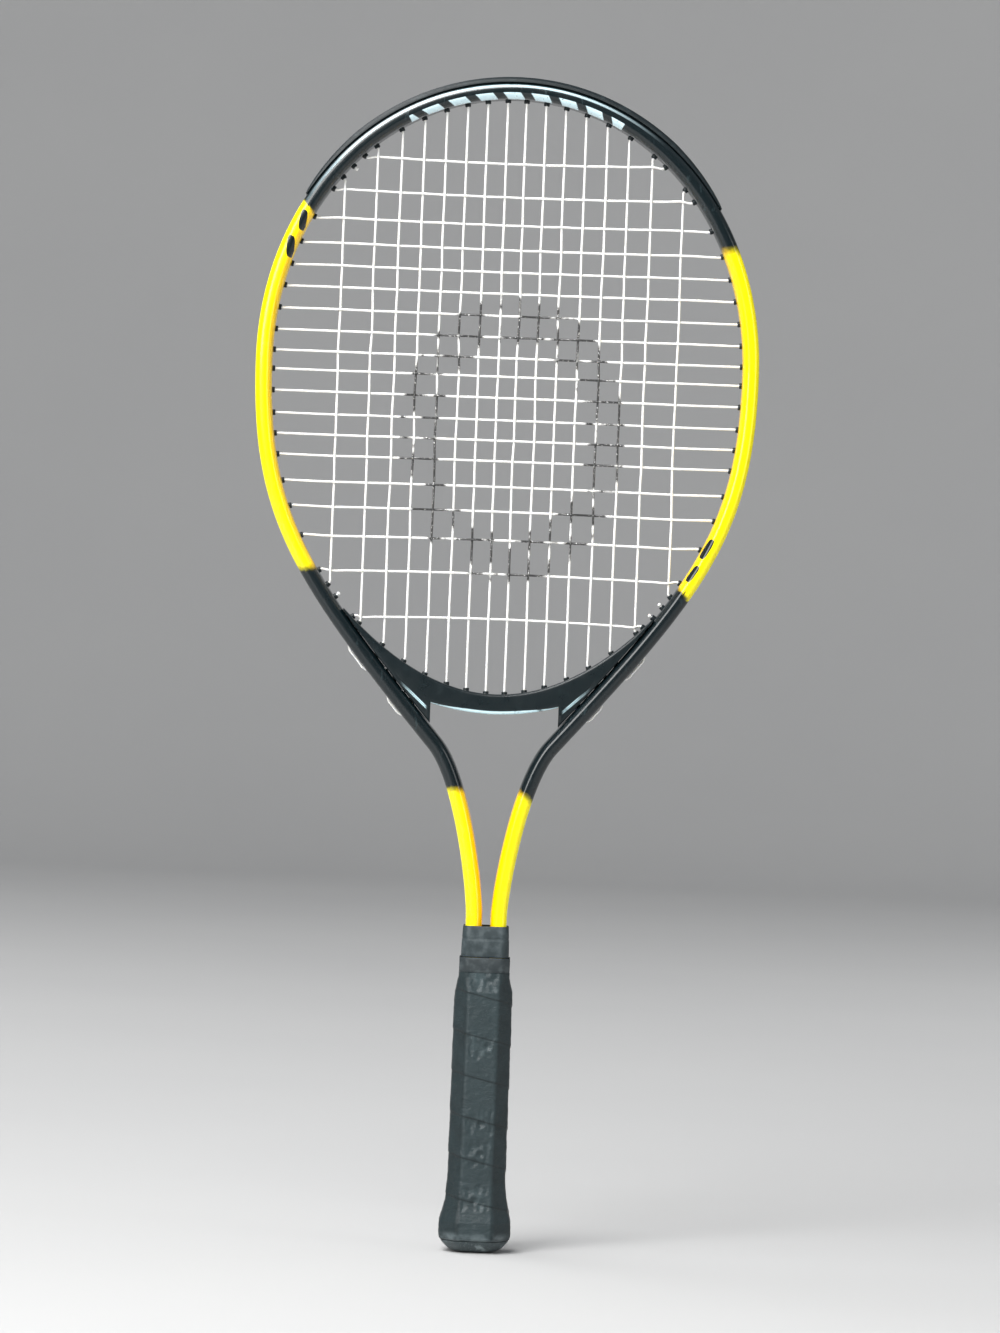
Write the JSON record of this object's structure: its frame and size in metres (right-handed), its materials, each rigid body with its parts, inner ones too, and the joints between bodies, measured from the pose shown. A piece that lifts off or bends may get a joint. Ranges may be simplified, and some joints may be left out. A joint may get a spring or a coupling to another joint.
{
  "type": "tennis racket",
  "caption": "Strung tennis racket with an oversize tubular head, an open throat with a moulded bridge, a bumper guard and a wound octagonal grip with a flared butt.",
  "frame": {"origin": "middle of the butt's flat end, where the racket stands upright", "axes": "+Z from the butt along the handle to the head, X across the head in the string plane, +Y from the front face to the back face"},
  "size_m": [0.2946, 0.0394, 0.685],
  "materials": {
    "painted_aluminium": "gloss",
    "moulded_black": "satin",
    "bare_rivet": "satin",
    "string": "satin",
    "pallet_foam": "matte",
    "cap_plastic": "satin",
    "grip_tape": "matte",
    "rubber": "matte"
  },
  "bodies": {
    "root": {"frame_tube": "painted_aluminium", "throat_bridge": "moulded_black", "bridge_rivet_1": "bare_rivet", "bridge_rivet_2": "bare_rivet", "bridge_rivet_3": "bare_rivet", "bridge_rivet_4": "bare_rivet", "bumper_guard": "moulded_black", "grommet_strip_left": "moulded_black", "grommet_strip_right": "moulded_black", "bridge_grommet_strip": "moulded_black", "main_string": "string", "cross_string": "string", "pallet_front": "pallet_foam", "pallet_back": "pallet_foam", "butt_cap": "cap_plastic", "cap_staple_left": "bare_rivet", "cap_staple_right": "bare_rivet", "grip_tape": "grip_tape", "finishing_band": "rubber", "rubber_collar": "rubber"}
  },
  "joints": []
}
